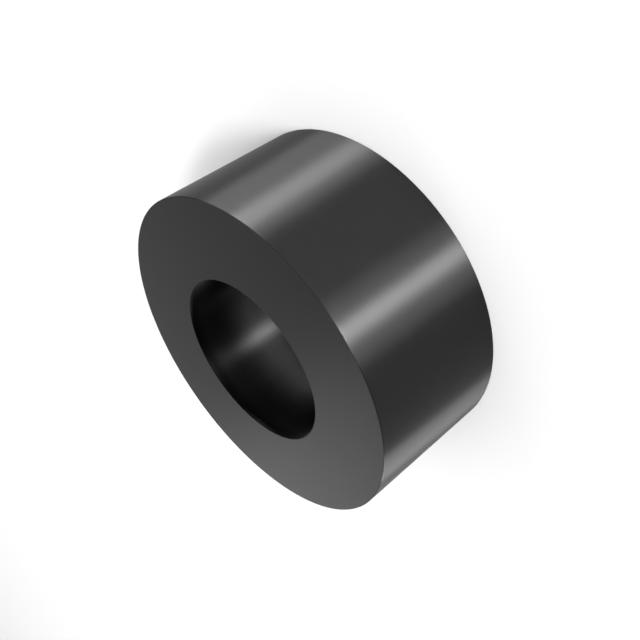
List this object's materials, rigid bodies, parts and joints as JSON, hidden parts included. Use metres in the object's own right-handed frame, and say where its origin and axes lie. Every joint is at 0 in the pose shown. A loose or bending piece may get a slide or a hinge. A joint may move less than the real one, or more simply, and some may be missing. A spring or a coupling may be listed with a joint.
{
  "type": "spacer sleeve",
  "caption": "Short round sleeve with a smooth through bore and flat square ends, turned from blackened steel, that holds clamped parts a set distance apart on a screw.",
  "frame": {"origin": "on the axis of the bore, in the plane of the lower end face that the sleeve stands on", "axes": "+Z along the axis of the bore, from the lower end face to the upper one; X and Y are any two directions across it, because the sleeve is round"},
  "size_m": [0.016, 0.016, 0.007],
  "materials": {
    "blackened_steel": "satin"
  },
  "bodies": {
    "root": {"spacer_sleeve": "blackened_steel"}
  },
  "joints": []
}
